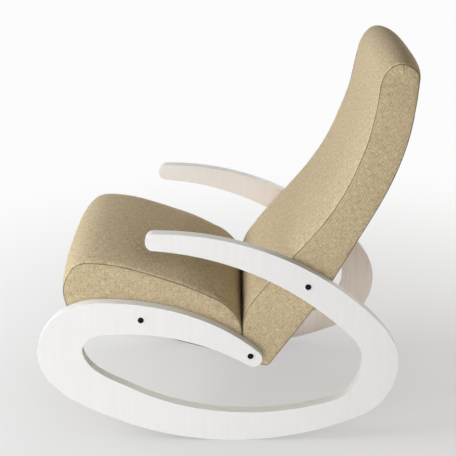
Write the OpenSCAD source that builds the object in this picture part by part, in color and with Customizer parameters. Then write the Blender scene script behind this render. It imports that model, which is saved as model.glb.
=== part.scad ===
// Rocking chair with two spiral side frames cut from thick plywood and an upholstered seat and back.
// X runs across the chair, with the sitter's left at +X. The chair faces -Y and stands on Z = 0.
// Side shapes are drawn as [u, v]: u is the distance behind the point where the runners touch
// the floor, and v is the height. A station is [u, v, heading, ...] on a smooth outline.

/* [Overall] */
// Width over both side frames
chair_w = 545; // [500:5:620]
// Thickness of the plywood side frames
ply_t = 27; // [21:1:32]

/* [Runner] */
// Radius of the runner's rolling arc
rocker_r = 745; // [700:5:800]
// Angle of the rolling arc in front of the contact point
rocker_front = 23; // [19:1:25]
// Angle of the rolling arc behind the contact point
rocker_rear = 22; // [18:1:24]
// Height of the runner's strip above the floor
runner_w = 83; // [70:1:95]

/* [Side frame outline] */
// Distance from the contact point forward to the nose
nose_reach = 486; // [470:1:505]
// Height of the nose's foremost point
nose_h = 247; // [235:1:260]
// Width of the strip at the nose
nose_w = 113; // [100:1:122]
// Distance from the contact point back to the rear curve
rear_reach = 412; // [400:1:430]
// Height of the rear curve's rearmost point
rear_h = 222; // [205:1:240]
// Width of the strip at the rear curve
rear_w = 89; // [78:1:98]
// Height of the seat rail's highest point
rail_top_h = 389; // [380:1:398]
// Distance from the contact point forward to the rail's highest point
rail_top_reach = 322; // [310:1:335]
// Width of the seat rail at its highest point
rail_w = 88; // [78:1:94]
// Radius of the seat rail's round rear end
rail_end_r = 22; // [20:0.5:24]
// Distance from the contact point forward to the armrest's tip
arm_reach = 210; // [190:1:225]
// Height of the armrest's top at its tip
arm_h = 570; // [555:1:585]
// Height of the armrest's strip at its tip
arm_tip_w = 44; // [41:1:50]
// Corner radius of the armrest's tip
arm_tip_r = 20; // [10:1:20]
// Width of the strip where the armrest turns down behind the sitter
shoulder_w = 75; // [66:1:84]

/* [Bolts] */
// Distance from the contact point forward to the front bolt
front_bolt_reach = 226; // [210:1:235]
// Distance from the contact point back to the bolt in the rail's end
rear_bolt_u = 44; // [40:1:48]
// Height of the bolt in the rail's end
rear_bolt_v = 244; // [239:1:249]
// Distance from the contact point back to the armrest's bolt
arm_bolt_u = 182; // [177:1:189]
// Diameter of the connector bolts' thread
bolt_d = 8; // [6:1:8]
// Length of the connector bolts under the head
bolt_len = 45; // [42:1:46]
// Diameter of the connector bolts' flat head
bolt_head_d = 15; // [13:0.5:17]
// Thickness of the connector bolts' head
bolt_head_t = 2.4; // [1.5:0.1:3.5]
// Outside diameter of the threaded inserts
insert_d = 12; // [11:0.5:13]
// Length of the threaded inserts
insert_len = 16; // [12:1:17]

/* [Upholstery] */
// Thickness of the cover with its wadding
cover_t = 4; // [3:0.5:6]
// Height of the seat's crown above its side seams
seat_crown = 28; // [10:1:34]
// Height of the back's crown in front of its side seams
back_crown = 18; // [8:1:24]
// Depth of the seat, bottom to top seam
seat_h = 152; // [146:1:158]
// Slope of the seat's underside, falling to the rear
seat_slope = 16; // [14:0.5:18]
// Lean of the back's lower half above the floor
back_lean = 51; // [49:0.5:54]
// How far each side of the back is drawn in at its head
head_draw = 20; // [0:1:22]
// Thickness of the back's foam
back_foam_t = 27; // [24:1:40]

/* [Inner frames] */
// Thickness of the plywood cheeks inside the seat and the back
cheek_t = 18; // [17:1:22]
// Height of the seat's cheeks
cheek_h = 57; // [56:1:66]
// Thickness of the cross rails
rail_t = 22; // [18:1:24]
// Width of one webbing strap
strap_w = 60; // [40:1:70]
// Thickness of the webbing
strap_t = 2; // [1.5:0.1:3]
// Number of straps under the seat foam
seat_straps = 5; // [3:1:6]
// Thickness of the dust cover under the seat
dust_t = 1.5; // [1:0.1:2.5]

/* [Hidden] */
$fn = 32;

// Colours of the painted plywood, bare plywood, cloth, foam, webbing and metal
paint = [0.93, 0.93, 0.92];
bare_ply = [0.82, 0.68, 0.48];
cloth = [0.76, 0.69, 0.56];
foam_yellow = [0.93, 0.89, 0.70];
webbing_grey = [0.25, 0.25, 0.26];
black_steel = [0.06, 0.06, 0.06];
zinc = [0.75, 0.76, 0.78];
dust_black = [0.12, 0.12, 0.12];

// A cut runs this far past the surface that it opens
past = 1;
// Clearance between neighbours that do not press on each other
clear = 0.5;
// Radial clearance of threads, inserts and bolt holes
snug = 0.05;
bolt_hole_d = bolt_d + 0.6;

function heading_of(a) = [cos(a), sin(a)];
function left_of(a) = [-sin(a), cos(a)];
function wrap(a) = a - 360 * round(a / 360);
function flip(list) = [for (k = [len(list) - 1 : -1 : 0]) list[k]];
function from_to(list, first, last) = [for (k = [first : last]) list[k]];
function arc(centre, r, a0, a1, steps) =
    [for (k = [0 : steps]) centre + r * heading_of(a0 + (a1 - a0) * k / steps)];

// Share of the chord that each handle of a smooth stretch takes, so that equal turns at both
// ends make a near circle
function handle(a, b) =
    (2 + sqrt(2) * (sin(a) - sin(b) / 16) * (sin(b) - sin(a) / 16) * (cos(a) - cos(b)))
    / (3 * (1 + 0.5 * (sqrt(5) - 1) * cos(a) + 0.5 * (3 - sqrt(5)) * cos(b)));

// Points of a smooth stretch from station p up to station q, with a fourth value carried along
function stretch(p, q, steps) =
    let (
        a = [p[0], p[1]],
        b = [q[0], q[1]],
        chord = norm(b - a),
        aim = atan2(b[1] - a[1], b[0] - a[0]),
        leave = wrap(p[2] - aim),
        arrive = wrap(aim - q[2]),
        c = a + chord * handle(leave, arrive) * heading_of(p[2]),
        d = b - chord * handle(arrive, leave) * heading_of(q[2])
    )
    [for (k = [0 : steps - 1])
        let (
            t = k / steps,
            s = 1 - t,
            at = s * s * s * a + 3 * s * s * t * c + 3 * s * t * t * d + t * t * t * b,
            ease = t * t * (3 - 2 * t)
        )
        [at[0], at[1], (1 - ease) * (len(p) > 3 ? p[3] : 0) + ease * (len(q) > 3 ? q[3] : 0)]];

function open_path(stations, steps) =
    concat(
        [for (k = [0 : len(stations) - 2]) each stretch(stations[k], stations[k + 1], steps)],
        [let (last = stations[len(stations) - 1]) [last[0], last[1], len(last) > 3 ? last[3] : 0]]
    );
function closed_path(stations, steps) =
    [for (k = [0 : len(stations) - 1])
        each stretch(stations[k], stations[(k + 1) % len(stations)], steps)];
function flat(path) = [for (p = path) [p[0], p[1]]];

// Two stations that round a corner at p by r
function corner(p, h_in, h_out, r, weight) = [
    [p[0] - r * cos(h_in), p[1] - r * sin(h_in), h_in, weight],
    [p[0] + r * cos(h_out), p[1] + r * sin(h_out), h_out, weight]
];

// Outward normals of a closed path that runs clockwise, and the path drawn in by d
function normal_at(path, k) =
    let (
        n = len(path),
        a = path[(k + n - 1) % n],
        b = path[(k + 1) % n],
        along = [b[0] - a[0], b[1] - a[1]] / norm([b[0] - a[0], b[1] - a[1]])
    )
    [-along[1], along[0]];
function drawn_in(path, d) =
    [for (k = [0 : len(path) - 1]) [path[k][0], path[k][1]] - d * normal_at(path, k)];

// The same for an open line, with d towards its right side
function line_normal(line, k) =
    let (
        a = line[max(0, k - 1)],
        b = line[min(len(line) - 1, k + 1)],
        along = [b[0] - a[0], b[1] - a[1]] / norm([b[0] - a[0], b[1] - a[1]])
    )
    [-along[1], along[0]];
function beside(line, d) =
    [for (k = [0 : len(line) - 1]) [line[k][0], line[k][1]] - d * line_normal(line, k)];

// Height of a path at u, on its first stretch that runs towards the rear there
function height_at(path, u) =
    let (
        k = [for (i = [0 : len(path) - 2]) if (path[i][0] <= u && path[i + 1][0] > u) i][0],
        a = path[k],
        b = path[k + 1]
    )
    a[1] + (b[1] - a[1]) * (u - a[0]) / (b[0] - a[0]);

// Side frame outline: [u, v, heading] of the outer edge, then the strip's width and how much
// more the inner edge turns
frame_steps = 14;
rear_bolt = [rear_bolt_u, rear_bolt_v];
rail_end_heading = -43;
rail_end_c = rear_bolt + [7, -8];
rail_end = rail_end_c + rail_end_r * left_of(rail_end_heading);
arm_start = -arm_reach + arm_tip_r + 12;
shoulder_u = rear_reach - 118;
shoulder_v = rear_h + 0.508 * (arm_h - rear_h);
heel_u = rear_reach - 42;
heel_v = rear_h - 114;
arc_rear = rocker_r * [sin(rocker_rear), 1 - cos(rocker_rear)];
arc_front = rocker_r * [-sin(rocker_front), 1 - cos(rocker_front)];

arm_stations = [
    [arm_start, arm_h, 0, arm_tip_w, -5],
    [shoulder_u, shoulder_v, -40, shoulder_w, -1],
    [rear_reach, rear_h, -90, rear_w, -4]
];
heel_stations = [
    [rear_reach, rear_h, -90, rear_w, -4],
    [heel_u, heel_v, -131],
    [arc_rear[0], arc_rear[1], -180 + rocker_rear, runner_w - 15, -3]
];
bottom_station = [0, 0, -180, runner_w, -3];
rail_stations = [
    [arc_front[0], arc_front[1], -180 - rocker_front, runner_w + 16, -5],
    [-nose_reach, nose_h, -270, nose_w, 16],
    [-rail_top_reach, rail_top_h, -360, rail_w, 6],
    [rail_end[0], rail_end[1], rail_end_heading - 360, 2 * rail_end_r, 11]
];
function inner_of(station) =
    let (at = [station[0], station[1]] - station[3] * left_of(station[2]))
    [at[0], at[1], station[2] + station[4]];
function outer_of(stations) = [for (s = stations) [s[0], s[1], s[2]]];

arm_outer = open_path(outer_of(arm_stations), frame_steps);
heel_outer = open_path(outer_of(heel_stations), frame_steps);
rocker_outer = arc([0, rocker_r], rocker_r, -90 + rocker_rear, -90 - rocker_front, 2 * frame_steps);
rail_outer = open_path(outer_of(rail_stations), frame_steps);
inner_stations = [
    for (s = concat(arm_stations, [heel_stations[2], bottom_station], rail_stations)) inner_of(s)
];
// The inner edge ends where it meets the rail's round end
rail_end_inner_heading = rail_end_heading + 11 - 360;
rail_end_inner = rail_end_c - rail_end_r * left_of(rail_end_inner_heading);
inner_edge = open_path(
    concat(
        from_to(inner_stations, 0, len(inner_stations) - 2),
        [[rail_end_inner[0], rail_end_inner[1], rail_end_inner_heading]]
    ),
    frame_steps
);
tip_low = height_at(inner_edge, arm_start) + 1;
side_outline = concat(
    arc([-arm_reach + arm_tip_r, arm_h - arm_tip_r], arm_tip_r, 180, 90, 10),
    flat(arm_outer),
    from_to(flat(heel_outer), 1, len(heel_outer) - 2),
    rocker_outer,
    from_to(flat(rail_outer), 1, len(rail_outer) - 1),
    from_to(arc(rail_end_c, rail_end_r, rail_end_heading + 90, rail_end_heading + 11 - 90, 14), 1, 13),
    flip(flat(inner_edge)),
    arc([-arm_reach + arm_tip_r, tip_low + arm_tip_r], arm_tip_r, 265, 180, 10)
);

// Bolt places: the front and armrest bolts sit in the middle of the strip
rail_inner = open_path(from_to(inner_stations, 6, 8), frame_steps);
front_bolt_u = -front_bolt_reach;
front_bolt = [
    front_bolt_u,
    (height_at(rail_outer, front_bolt_u) + height_at(rail_inner, front_bolt_u)) / 2
];
arm_bolt = [
    arm_bolt_u,
    (height_at(arm_outer, arm_bolt_u) + height_at(inner_edge, arm_bolt_u)) / 2
];
bolt_places = [front_bolt, rear_bolt, arm_bolt];

// The origin is under the middle of the chair's length
back_reach = 425;
contact_y = (nose_reach - back_reach) / 2;

// Widths across the chair
inner_gap = chair_w - 2 * ply_t;
cushion_w = inner_gap - 2 * clear;
cavity_w = cushion_w - 2 * cover_t;
between_cheeks = cavity_w - 2 * cheek_t;

// The seat and the back meet at an upright face in front of the lower bolt
crease_u = rail_end_c[0] - 27;

// Seat profile, in its own axes from the front bolt: s along the underside, t square to it
seat_under = -44;
seat_top_seam = seat_under + seat_h;
seat_along = heading_of(-seat_slope);
seat_up = left_of(-seat_slope);
function seat_at(s, t) = front_bolt + s * seat_along + t * seat_up;
function seat_rear_s(t, u) = (u - front_bolt[0] - t * sin(seat_slope)) / cos(seat_slope);
function seat_station(s, t, h, weight) =
    let (p = seat_at(s, t))
    [p[0], p[1], h - seat_slope, weight];
seat_rear_u = crease_u - clear;
seat_nose_s = -201;
seat_top_station = seat_station(55, seat_top_seam, -3, 0.9);
seat_profile_stations = concat(
    [
        seat_station(-155, seat_top_seam - 8, 15.5, 1.07),
        seat_top_station,
        seat_station(seat_rear_s(0, seat_rear_u) - 97, seat_top_seam - 15, -11, 0.5),
        seat_station(seat_rear_s(17, seat_rear_u), 17, -90 + seat_slope, 0)
    ],
    corner(
        seat_at(seat_rear_s(seat_under, seat_rear_u), seat_under),
        -90, 180 - seat_slope, 8, 0
    ),
    corner(seat_at(seat_nose_s + 26, seat_under), 180 - seat_slope, 120 - seat_slope, 14, 0),
    [
        seat_station(seat_nose_s, 6, 106, 0.3),
        seat_station(seat_nose_s + 7, seat_top_seam - 35, 68, 0.7)
    ]
);
seat_profile = closed_path(seat_profile_stations, 6);

// Seat frame and foam heights, in the seat's own axes
seat_frame_low = seat_under + cover_t;
seat_frame_top = seat_frame_low + cheek_h;
seat_rail_top = seat_frame_top - strap_t;
seat_front_rail_s = seat_nose_s + 34;
seat_rear_rail_u = seat_rear_u - cover_t - rail_t;
seat_hem = 32;

// Back profile, in its own axes from its foot in the rail's end: p along the lean, q square to it,
// to the rear
back_root = rail_end_c + [-5, 3];
back_along = heading_of(back_lean);
back_behind = -left_of(back_lean);
function back_at(p, q) = back_root + p * back_along + q * back_behind;
function back_station(p, q, h, weight) =
    let (at = back_at(p, q))
    [at[0], at[1], h + back_lean, weight];
back_foot = back_root + [42, -40];
back_toe = [crease_u, back_root[1] - 21];
front_stations = [
    [crease_u, back_root[1] + 61, 88, 0],
    back_station(104, -86, 5, 0.25),
    back_station(177, -88, 0, 0.8),
    back_station(390, -87, 4, 1),
    back_station(564, -127, 20, 1),
    back_station(703, -197.5, 31, 0)
];
back_profile_stations = concat(
    [back_station(782, -193, -60, 0.8)],
    corner(back_at(786, -147), -104 + back_lean, -144 + back_lean, 6, 0.4),
    [
        back_station(712, -99.5, -146.5, 0.3),
        back_station(576, -35, -161.5, 0.1),
        back_station(383, 9, -169, 0),
        back_station(178, 44, -174.5, 0)
    ],
    corner(back_foot, -125, 163, 9, 0),
    corner(back_toe, 163, 90, 10, 0),
    front_stations
);
back_profile = closed_path(back_profile_stations, 5);

// The line between the back's foam and its frame
foam_depth = cover_t + back_foam_t;
function behind_front(station) =
    let (at = [station[0], station[1]] - foam_depth * left_of(station[2]))
    [at[0], at[1], station[2]];
foam_line_start = [crease_u - past, back_root[1] + 68, 18];
head_station = front_stations[5];
foam_line_end = behind_front([head_station[0] + 4, head_station[1] + 90, 90]);
foam_line = flat(open_path(
    concat(
        [foam_line_start],
        [for (k = [2 : 5]) behind_front(front_stations[k])],
        [foam_line_end]
    ),
    8
));
webbing_line = beside(foam_line, strap_t);
cheek_top_v = head_station[1] - 5;

// The sides of the back are drawn in over a stretch of its height, up to the head
draw_low_v = head_station[1] - 48;
draw_high_v = head_station[1] + 35;
function drawn_at(v) =
    let (t = min(1, max(0, (v - draw_low_v) / (draw_high_v - draw_low_v))))
    head_draw * t * t * (3 - 2 * t);
back_bottom_rail_u = crease_u + cover_t;
tie_v = back_root[1] + 26;
tie_x = between_cheeks / 4;
panel_w = cushion_w - 90;

// Connecting hardware between the seat's rear rail and the back's bottom rail
washer_d = 22;
washer_t = 1.6;
hex_head_t = 5.3;
hex_head_af = 13;
tee_flange_t = 1.5;
tee_barrel_d = 10;
tee_barrel_len = 9;
socket_af = 5;

// Extrudes a side shape across the chair from x0 to x1
module across(x0, x1) {
    translate([x0, contact_y, 0])
        rotate([90, 0, 90])
            linear_extrude(height = x1 - x0) children();
}

// A round bar across the chair at p, from x0 to x1
module bar(p, d, x0, x1) {
    translate([x0, contact_y + p[0], p[1]])
        rotate([0, 90, 0]) cylinder(d = d, h = x1 - x0);
}

// A round bar along the chair at x and v, from u0 to u1
module tie(x, v, d, u0, u1) {
    translate([x, contact_y + u0, v])
        rotate([-90, 0, 0]) cylinder(d = d, h = u1 - u0);
}

// A block in the seat's own axes
module seat_block(x0, x1, s0, s1, t0, t1) {
    translate([0, contact_y + front_bolt[0], front_bolt[1]])
        rotate([-seat_slope, 0, 0])
            translate([x0, s0, t0]) cube([x1 - x0, s1 - s0, t1 - t0]);
}

// The same region as a side shape
module seat_region(s0, s1, t0, t1) {
    translate(front_bolt)
        rotate(-seat_slope)
            translate([s0, t0]) square([s1 - s0, t1 - t0]);
}

// A crowned cushion: the profile is repeated across the width, pushed out where it is crowned
// and drawn in at the side panels
function crown_share(s) = pow(max(0, 1 - pow(abs(s), 3)), 0.7);
module cushion(profile, w, crown, edge, turn) {
    n = len(profile);
    shares = [-0.97, -0.9, -0.77, -0.52, -0.18, 0.18, 0.52, 0.77, 0.9, 0.97];
    seam_x = w / 2 - edge / 2;
    rings = concat(
        [[-w / 2, edge, 0], [-seam_x, 0, 0]],
        [for (s = shares) [s * seam_x, 0, crown * crown_share(s)]],
        [[seam_x, 0, 0], [w / 2, edge, 0]]
    );
    count = len(rings);
    points = [
        for (ring = rings)
            for (k = [0 : n - 1])
                let (
                    out = (ring[2] * profile[k][2] - ring[1]) * normal_at(profile, k),
                    narrow = 1 - 2 * drawn_at(profile[k][1]) / w
                )
                [ring[0] * narrow, contact_y + profile[k][0] + out[0], profile[k][1] + out[1]]
    ];
    sides = [
        for (r = [0 : count - 2])
            for (k = [0 : n - 1])
                let (a = r * n + k, b = r * n + (k + 1) % n)
                each [[a, b, b + n], [a, b + n, a + n]]
    ];
    // The side panels are hollow in places, so each is a strip between points at the same height
    half = floor((n - 1) / 2);
    strip = concat(
        [[0, 1, n - 1]],
        [for (k = [1 : half - 1]) each [[k, k + 1, n - k], [k + 1, n - k - 1, n - k]]],
        n % 2 == 0 ? [[half, half + 1, half + 2]] : []
    );
    panel = [for (t = strip) [for (k = t) (k + turn) % n]];
    first = [for (t = panel) [t[2], t[1], t[0]]];
    last = [for (t = panel) [for (k = t) (count - 1) * n + k]];
    polyhedron(points = points, faces = concat(sides, first, last), convexity = 4);
}

module side_frame(x0) {
    color(paint)
        difference() {
            across(x0, x0 + ply_t) polygon(side_outline);
            for (p = bolt_places) bar(p, bolt_hole_d, x0 - past, x0 + ply_t + past);
        }
}
module left_side_frame() {
    side_frame(chair_w / 2 - ply_t);
}
module right_side_frame() {
    side_frame(-chair_w / 2);
}

// Flat-headed connector bolts with a hex socket, entering from the +X side
module connector_bolts() {
    color(black_steel)
        for (p = bolt_places)
            translate([chair_w / 2, contact_y + p[0], p[1]])
                rotate([0, 90, 0])
                    difference() {
                        union() {
                            translate([0, 0, -bolt_len]) cylinder(d = bolt_d, h = bolt_len + past / 2);
                            cylinder(d = bolt_head_d, h = bolt_head_t * 0.55);
                            translate([0, 0, bolt_head_t * 0.55])
                                cylinder(
                                    d1 = bolt_head_d,
                                    d2 = bolt_head_d - 2.4,
                                    h = bolt_head_t * 0.45
                                );
                        }
                        translate([0, 0, -2])
                            cylinder(d = socket_af / cos(30), h = bolt_head_t + 2 + past, $fn = 6);
                    }
}
module left_connector_bolts() {
    connector_bolts();
}
module right_connector_bolts() {
    mirror([1, 0, 0]) connector_bolts();
}

// Threaded inserts in the outer faces of the cheeks
module threaded_inserts() {
    color(zinc)
        for (p = bolt_places)
            difference() {
                bar(p, insert_d - 2 * snug, cavity_w / 2 - insert_len, cavity_w / 2);
                bar(p, bolt_d + 2 * snug, cavity_w / 2 - insert_len - past, cavity_w / 2 + past);
            }
}
module left_threaded_inserts() {
    threaded_inserts();
}
module right_threaded_inserts() {
    mirror([1, 0, 0]) threaded_inserts();
}
module insert_pockets(places) {
    for (p = places) bar(p, insert_d, cavity_w / 2 - insert_len, cavity_w / 2 + past);
}

module seat_inside() {
    polygon(drawn_in(seat_profile, cover_t));
}

module seat_cheek() {
    color(bare_ply)
        difference() {
            across(between_cheeks / 2, cavity_w / 2)
                intersection() {
                    seat_inside();
                    seat_region(-300, 400, seat_frame_low, seat_frame_top);
                }
            insert_pockets([front_bolt]);
        }
}
module seat_left_cheek() {
    seat_cheek();
}
module seat_right_cheek() {
    mirror([1, 0, 0]) seat_cheek();
}

module seat_front_rail() {
    color(bare_ply)
        across(-between_cheeks / 2, between_cheeks / 2)
            intersection() {
                seat_inside();
                seat_region(
                    seat_front_rail_s, seat_front_rail_s + rail_t,
                    seat_frame_low, seat_rail_top
                );
            }
}

module seat_rear_rail() {
    color(bare_ply)
        difference() {
            across(-between_cheeks / 2, between_cheeks / 2)
                intersection() {
                    seat_inside();
                    seat_region(0, 400, seat_frame_low, seat_rail_top);
                    translate([seat_rear_rail_u, 0]) square([rail_t + past, back_root[1] + 200]);
                }
            for (x = [-tie_x, tie_x])
                tie(x, tie_v, bolt_hole_d, seat_rear_rail_u - past, seat_rear_u);
        }
}

// Glued blocks in the four inner corners of the seat frame
block_leg = 55;
block_h = 40;
module corner_block() {
    linear_extrude(height = block_h) polygon([[0, 0], [block_leg, 0], [0, block_leg]]);
}
module seat_corner_blocks() {
    front_s = seat_front_rail_s + rail_t;
    rear_s = seat_rear_s(seat_frame_low + block_h, seat_rear_rail_u);
    color(bare_ply)
        translate([0, contact_y + front_bolt[0], front_bolt[1]])
            rotate([-seat_slope, 0, 0])
                for (side = [0, 1])
                    mirror([side, 0, 0]) {
                        translate([between_cheeks / 2, front_s, seat_frame_low])
                            rotate(90) corner_block();
                        translate([between_cheeks / 2, rear_s, seat_frame_low])
                            rotate(180) corner_block();
                    }
}

module seat_webbing() {
    pitch = (between_cheeks - strap_w - 20) / (seat_straps - 1);
    color(webbing_grey)
        for (k = [0 : seat_straps - 1])
            let (x = (k - (seat_straps - 1) / 2) * pitch)
            across(x - strap_w / 2, x + strap_w / 2)
                intersection() {
                    polygon(drawn_in(seat_profile, cover_t + strap_t));
                    seat_region(seat_front_rail_s, 400, seat_rail_top, seat_frame_top);
                }
}

module seat_foam() {
    color(foam_yellow)
        across(-cavity_w / 2, cavity_w / 2)
            intersection() {
                seat_inside();
                seat_region(-300, 400, seat_frame_top, seat_top_seam + seat_crown);
            }
}

// Cover of the seat, open underneath inside its hem
module seat_cover() {
    hem_rear_s = seat_rear_s(seat_under, seat_rear_u) - seat_hem;
    color(cloth)
        difference() {
            cushion(seat_profile, cushion_w, seat_crown, 5, 0);
            across(-cavity_w / 2, cavity_w / 2) seat_inside();
            seat_block(
                -cushion_w / 2 + seat_hem, cushion_w / 2 - seat_hem,
                seat_nose_s + 26 + seat_hem, hem_rear_s,
                seat_under - past, seat_frame_low + past
            );
            bar(front_bolt, bolt_hole_d, -chair_w / 2, chair_w / 2);
            for (x = [-tie_x, tie_x])
                tie(x, tie_v, bolt_hole_d, seat_rear_rail_u, crease_u + past);
        }
}

module seat_dust_cover() {
    over = seat_hem - 12;
    hem_rear_s = seat_rear_s(seat_under, seat_rear_u) - over;
    color(dust_black)
        seat_block(
            -cushion_w / 2 + over, cushion_w / 2 - over,
            seat_nose_s + 26 + over, hem_rear_s,
            seat_under - dust_t, seat_under
        );
}

module back_inside() {
    polygon(drawn_in(back_profile, cover_t));
}

// Keeps what lies inside the back's cover, which narrows towards the head
module in_head_room() {
    steps = 8;
    reach = 600;
    side = concat(
        [[cavity_w / 2 + clear, 0], [cavity_w / 2 + clear, draw_low_v]],
        [
            for (k = [1 : steps])
                let (v = draw_low_v + (draw_high_v - draw_low_v) * k / steps)
                [cavity_w / 2 - drawn_at(v), v]
        ],
        [[cavity_w / 2 - head_draw, draw_high_v + reach]]
    );
    intersection() {
        children();
        translate([0, reach, 0])
            rotate([90, 0, 0])
                linear_extrude(height = 2 * reach)
                    polygon(concat(side, flip([for (p = side) [-p[0], p[1]]])));
    }
}

// The region in front of a line that runs up the back
module in_front_of(line) {
    last = line[len(line) - 1];
    polygon(concat(line, [[last[0], last[1] + 100], [-300, last[1] + 100], [-300, line[0][1]]]));
}

// The strip between two depths behind the foam, over some of the line's steps
module back_strip(first, last, d0, d1) {
    polygon(concat(
        from_to(beside(foam_line, d0), first, last),
        flip(from_to(beside(foam_line, d1), first, last))
    ));
}

module back_frame_side() {
    difference() {
        intersection() {
            back_inside();
            translate([-300, 0]) square([1000, cheek_top_v]);
        }
        in_front_of(webbing_line);
    }
}

module back_cheek() {
    color(bare_ply)
        difference() {
            in_head_room() across(between_cheeks / 2, cavity_w / 2) back_frame_side();
            insert_pockets([rear_bolt, arm_bolt]);
        }
}
module back_left_cheek() {
    back_cheek();
}
module back_right_cheek() {
    mirror([1, 0, 0]) back_cheek();
}

module back_rail(first, last) {
    color(bare_ply)
        across(-between_cheeks / 2, between_cheeks / 2)
            intersection() {
                back_strip(first, last, strap_t, strap_t + rail_t);
                back_frame_side();
            }
}
module back_top_rail() {
    back_rail(29, 32);
}
module back_middle_rail() {
    back_rail(16, 19);
}
module back_bottom_rail() {
    color(bare_ply)
        difference() {
            across(-between_cheeks / 2, between_cheeks / 2)
                intersection() {
                    back_inside();
                    translate([back_bottom_rail_u, back_root[1] - 20])
                        square([rail_t, 80]);
                }
            for (x = [-tie_x, tie_x]) {
                tie(x, tie_v, bolt_hole_d, crease_u, back_bottom_rail_u + rail_t);
                tie(
                    x, tie_v, tee_barrel_d,
                    back_bottom_rail_u + rail_t - tee_barrel_len, back_bottom_rail_u + rail_t + past
                );
            }
        }
}

module back_webbing() {
    color(webbing_grey)
        for (first = [9 : 4 : 29])
            in_head_room()
                across(-cavity_w / 2, cavity_w / 2) back_strip(first, first + 2, 0, strap_t);
}

module back_foam() {
    color(foam_yellow)
        in_head_room()
            across(-cavity_w / 2, cavity_w / 2)
                intersection() {
                    back_inside();
                    in_front_of(foam_line);
                }
}

// Pad on top of the cheeks, behind the main foam
module back_head_pad() {
    color(foam_yellow)
        in_head_room()
            across(-cavity_w / 2, cavity_w / 2)
                difference() {
                    intersection() {
                        back_inside();
                        translate([-300, cheek_top_v]) square([1000, 200]);
                    }
                    in_front_of(foam_line);
                }
}

// The rear wall of the cover between two depths, where the panel closes it
module rear_wall(d0, d1) {
    intersection() {
        difference() {
            polygon(drawn_in(back_profile, d0));
            polygon(drawn_in(back_profile, d1));
        }
        translate([back_foot[0] + 10, back_root[1] - 8])
            square([600, cheek_top_v - back_root[1]]);
        difference() {
            translate([-300, 0]) square([1000, 1200]);
            in_front_of(webbing_line);
        }
    }
}

// Cover of the back, open at the rear where the panel closes it
module back_cover() {
    color(cloth)
        difference() {
            cushion(back_profile, cushion_w, back_crown, 5, 4);
            in_head_room() across(-cavity_w / 2, cavity_w / 2) back_inside();
            across(-panel_w / 2 - snug, panel_w / 2 + snug) rear_wall(-back_crown, cover_t + past);
            for (p = [rear_bolt, arm_bolt]) bar(p, bolt_hole_d, -chair_w / 2, chair_w / 2);
            for (x = [-tie_x, tie_x])
                tie(x, tie_v, bolt_hole_d, crease_u - past, back_bottom_rail_u + past);
        }
}

module back_rear_panel() {
    color(cloth)
        across(-panel_w / 2, panel_w / 2) rear_wall(0, cover_t);
}

module seat_back_bolts() {
    start = seat_rear_rail_u - washer_t;
    color(zinc)
        for (x = [-tie_x, tie_x]) {
            tie(x, tie_v, bolt_d, start - hex_head_t / 2, back_bottom_rail_u + rail_t + 4);
            translate([x, contact_y + start - hex_head_t, tie_v])
                rotate([-90, 0, 0]) cylinder(d = hex_head_af / cos(30), h = hex_head_t, $fn = 6);
        }
}

module seat_back_washers() {
    color(zinc)
        for (x = [-tie_x, tie_x])
            difference() {
                tie(x, tie_v, washer_d, seat_rear_rail_u - washer_t, seat_rear_rail_u);
                tie(x, tie_v, bolt_hole_d, seat_rear_rail_u - washer_t - past, seat_rear_rail_u + past);
            }
}

module seat_back_tee_nuts() {
    face = back_bottom_rail_u + rail_t;
    color(zinc)
        for (x = [-tie_x, tie_x])
            difference() {
                union() {
                    tie(x, tie_v, washer_d, face, face + tee_flange_t);
                    tie(x, tie_v, tee_barrel_d - 2 * snug, face - tee_barrel_len, face + past);
                }
                tie(x, tie_v, bolt_d + 2 * snug, face - tee_barrel_len - past, face + tee_flange_t + past);
            }
}

left_side_frame();
right_side_frame();
left_connector_bolts();
right_connector_bolts();
left_threaded_inserts();
right_threaded_inserts();
seat_left_cheek();
seat_right_cheek();
seat_front_rail();
seat_rear_rail();
seat_corner_blocks();
seat_webbing();
seat_foam();
seat_cover();
seat_dust_cover();
back_left_cheek();
back_right_cheek();
back_top_rail();
back_middle_rail();
back_bottom_rail();
back_webbing();
back_foam();
back_head_pad();
back_cover();
back_rear_panel();
seat_back_bolts();
seat_back_washers();
seat_back_tee_nuts();
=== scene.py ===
"""Rocking chair with two spiral plywood side frames and an upholstered seat and back.

Outlines of the soft parts are drawn in millimetres as (u, v): u runs to the rear from the
point where the runners touch the floor and v is the height. Meshes are made in metres, with
x across the chair, y = u + CONTACT_Y and z = v.
"""
import math

import bmesh
import bpy
import numpy as np
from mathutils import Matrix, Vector, geometry, noise
from mathutils.bvhtree import BVHTree


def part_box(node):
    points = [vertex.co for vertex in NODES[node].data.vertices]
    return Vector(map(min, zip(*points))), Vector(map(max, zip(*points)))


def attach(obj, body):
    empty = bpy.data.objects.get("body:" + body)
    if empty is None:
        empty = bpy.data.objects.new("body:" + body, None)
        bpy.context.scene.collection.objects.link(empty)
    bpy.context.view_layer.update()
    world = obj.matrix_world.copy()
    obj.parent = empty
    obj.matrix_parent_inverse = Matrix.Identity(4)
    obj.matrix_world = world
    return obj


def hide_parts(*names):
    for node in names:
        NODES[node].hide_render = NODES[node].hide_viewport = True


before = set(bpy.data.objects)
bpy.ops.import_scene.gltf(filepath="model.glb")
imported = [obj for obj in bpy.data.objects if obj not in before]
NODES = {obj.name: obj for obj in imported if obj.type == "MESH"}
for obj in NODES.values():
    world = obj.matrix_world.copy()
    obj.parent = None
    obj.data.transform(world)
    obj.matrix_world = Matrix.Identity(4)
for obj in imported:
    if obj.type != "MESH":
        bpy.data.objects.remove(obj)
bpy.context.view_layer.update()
scene = bpy.context.scene
MM = 0.001

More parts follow.
